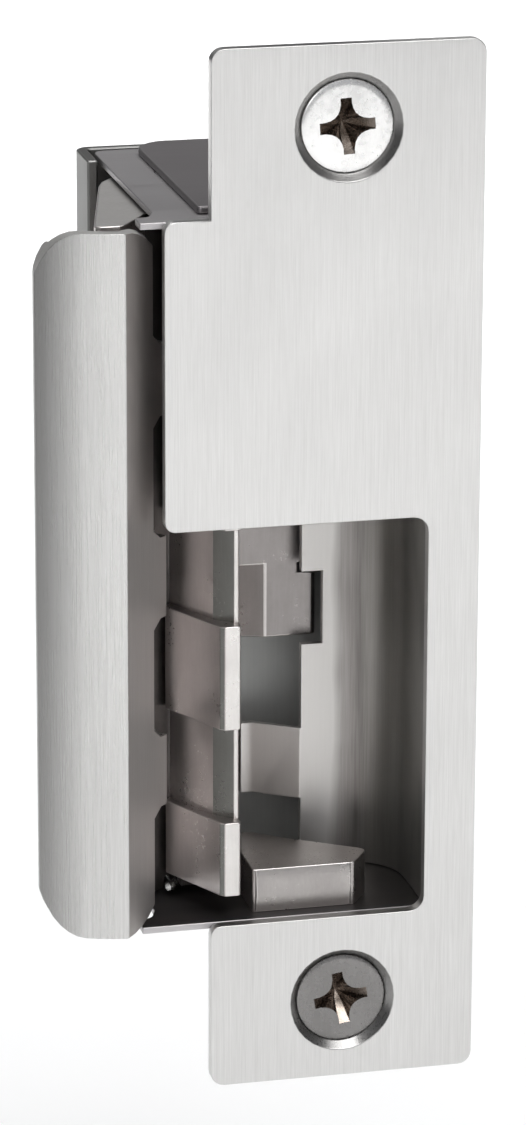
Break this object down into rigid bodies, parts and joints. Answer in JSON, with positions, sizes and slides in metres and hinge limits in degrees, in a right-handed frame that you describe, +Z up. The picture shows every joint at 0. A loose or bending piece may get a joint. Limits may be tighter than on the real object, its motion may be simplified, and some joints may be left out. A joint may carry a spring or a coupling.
{
  "type": "electric door strike",
  "caption": "Electric strike: slotted faceplate, boxed case and pocket, keeper that swings out on a vertical pin, lock lever and solenoid.",
  "frame": {"origin": "midway between the two fixing screws, on the back plane of the faceplate, which is the face that lies on the door frame", "axes": "+X right and +Z up as seen from the front, +Y into the door frame; the keeper swings out towards -X"},
  "size_m": [0.0513, 0.0442, 0.1238],
  "materials": {
    "satin_steel": "satin brushed stainless steel, grain along the height",
    "fixing_screw": "satin stainless steel screw",
    "mill_steel": "dull mill-finish steel sheet",
    "cast_steel": "fine matt investment-cast stainless steel",
    "liner_steel": "smooth satin steel sheet",
    "zinc_steel": "bright zinc-plated steel",
    "bronze": "plain sintered bronze",
    "copper_wire": "enamelled copper winding",
    "spring_steel": "drawn spring wire",
    "black_plastic": "moulded nylon"
  },
  "bodies": {
    "case": {"faceplate": "satin_steel", "faceplate_screw_upper": "fixing_screw", "faceplate_screw_lower": "fixing_screw", "case_frame": "mill_steel", "case_cover": "mill_steel", "case_back": "mill_steel", "side_screw_upper": "zinc_steel", "side_screw_lower": "zinc_steel", "side_rivet_upper": "zinc_steel", "side_rivet_lower": "zinc_steel", "pocket_liner": "liner_steel", "latch_guide_block": "cast_steel", "guide_block_screw": "zinc_steel", "keeper_pivot_pin": "zinc_steel", "keeper_spring": "spring_steel", "mechanism_plate": "mill_steel", "lock_lever_pin": "zinc_steel", "lever_spacer": "bronze", "solenoid_frame": "zinc_steel", "solenoid_bobbin": "black_plastic", "solenoid_coil": "copper_wire", "solenoid_pole": "zinc_steel", "plunger_spring": "spring_steel", "solenoid_screw_lower": "zinc_steel", "solenoid_screw_upper": "zinc_steel", "rear_connector": "black_plastic", "connector_pin_left": "bronze", "connector_pin_right": "bronze"},
    "keeper": {"keeper_core": "cast_steel", "keeper_lip": "satin_steel", "lip_screw_upper": "zinc_steel", "lip_screw_lower": "zinc_steel", "keeper_bush_upper": "bronze", "keeper_bush_lower": "bronze"},
    "plunger": {"solenoid_plunger": "zinc_steel"},
    "lock_lever": {"lock_lever": "cast_steel"}
  },
  "joints": [
    {"name": "keeper_swing", "type": "hinge", "parent": "case", "child": "keeper", "pos_m": [-0.0139, 0.0252, 0], "axis": [0, 0, -1], "range_deg": [0, 65], "stiffness_Nm_per_rad": 0.05, "springref_deg": -28.65, "deforming": ["keeper_spring"]},
    {"name": "plunger_slide", "type": "slide", "parent": "case", "child": "plunger", "axis": [0, 0, 1], "range_m": [0, 0.0016], "stiffness_N_per_m": 300, "springref_m": -0.003, "deforming": ["plunger_spring"]},
    {"name": "lever_pivot", "type": "hinge", "parent": "case", "child": "lock_lever", "pos_m": [-0.003, 0.021, 0.0088], "axis": [0, -1, 0], "range_deg": [0, 12.5]}
  ],
  "couplings": [
    {"joint": "lever_pivot", "follows": "plunger_slide", "rad_per_m": 133.33}
  ]
}
